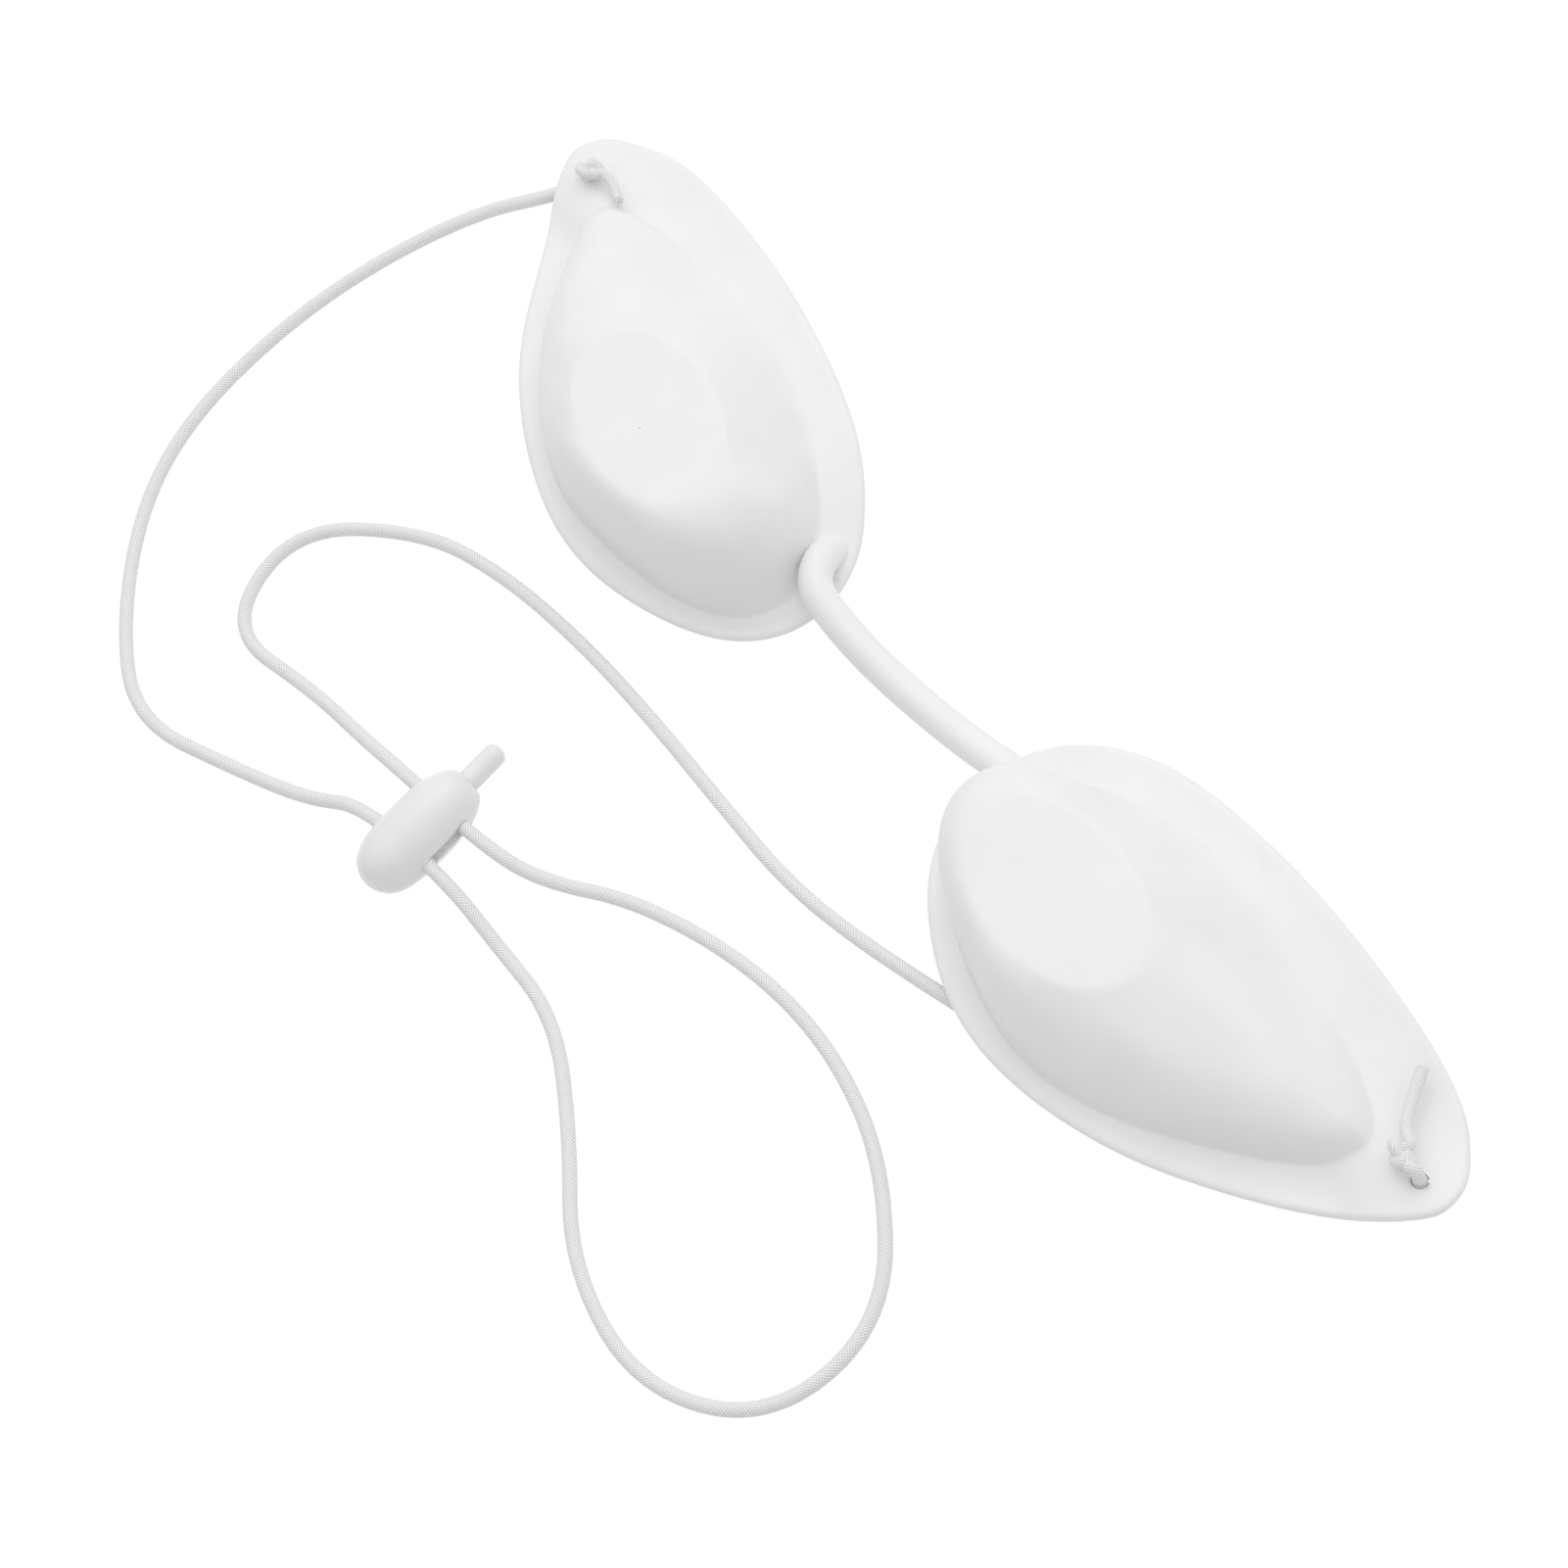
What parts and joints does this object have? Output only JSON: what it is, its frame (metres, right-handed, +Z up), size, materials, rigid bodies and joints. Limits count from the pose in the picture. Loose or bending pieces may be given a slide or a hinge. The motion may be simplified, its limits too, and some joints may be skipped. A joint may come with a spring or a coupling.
{
  "type": "tanning goggles",
  "caption": "Soft white tanning goggles: two domed eye cups joined by a flexible nose rod, with a round elastic head strap, end knots and a spring cord lock.",
  "frame": {"origin": "on the table under the middle of the two cups and the nose rod, as the goggles lie convex side up", "axes": "+X along the goggles towards the right cup's tip, +Y towards the brow edge, +Z up, away from the face"},
  "size_m": [0.1951, 0.1097, 0.0187],
  "materials": {
    "cup_silicone": "satin",
    "bridge_silicone": "satin",
    "strap_braid": "matte",
    "strap_rubber": "matte",
    "lock_plastic": "gloss",
    "spring_steel": "satin"
  },
  "bodies": {
    "root": {"left_cup": "cup_silicone", "left_knot": "strap_braid", "strap_left_run": "strap_braid", "strap_tail_loop": "strap_braid", "strap_right_run": "strap_braid", "strap_left_run_core": "strap_rubber", "strap_tail_loop_core": "strap_rubber", "strap_right_run_core": "strap_rubber"},
    "nose_bridge": {"nose_bridge": "bridge_silicone"},
    "right_cup": {"right_cup": "cup_silicone", "right_knot": "strap_braid", "strap_right_end": "strap_braid", "strap_right_end_core": "strap_rubber"},
    "cord_lock": {"lock_body": "lock_plastic", "lock_plug": "lock_plastic", "lock_spring": "spring_steel"},
    "lock_plunger": {"lock_plunger": "lock_plastic"}
  },
  "joints": [
    {"name": "bridge_sway", "type": "hinge", "parent": "root", "child": "nose_bridge", "pos_m": [-0.0206, 0.0012, 0.006], "axis": [0, 0, 1], "range_deg": [-5, 20], "stiffness_Nm_per_rad": 0.003, "deforming": ["nose_bridge", "strap_right_run", "strap_right_run_core"]},
    {"name": "bridge_fold", "type": "hinge", "parent": "nose_bridge", "child": "right_cup", "pos_m": [0.0187, 0.0042, 0.0025], "axis": [0.3322, -0.9432, 0], "range_deg": [-25, 60], "stiffness_Nm_per_rad": 0.003, "deforming": ["nose_bridge", "strap_right_end", "strap_right_end_core"]},
    {"name": "lock_slide", "type": "slide", "parent": "root", "child": "cord_lock", "axis": [0.9694, 0.2453, 0], "range_m": [-0.002, 0.002]},
    {"name": "plunger_press", "type": "slide", "parent": "cord_lock", "child": "lock_plunger", "axis": [0.2453, -0.9694, 0], "range_m": [0, 0.002], "stiffness_N_per_m": 600, "deforming": ["lock_spring"]}
  ]
}
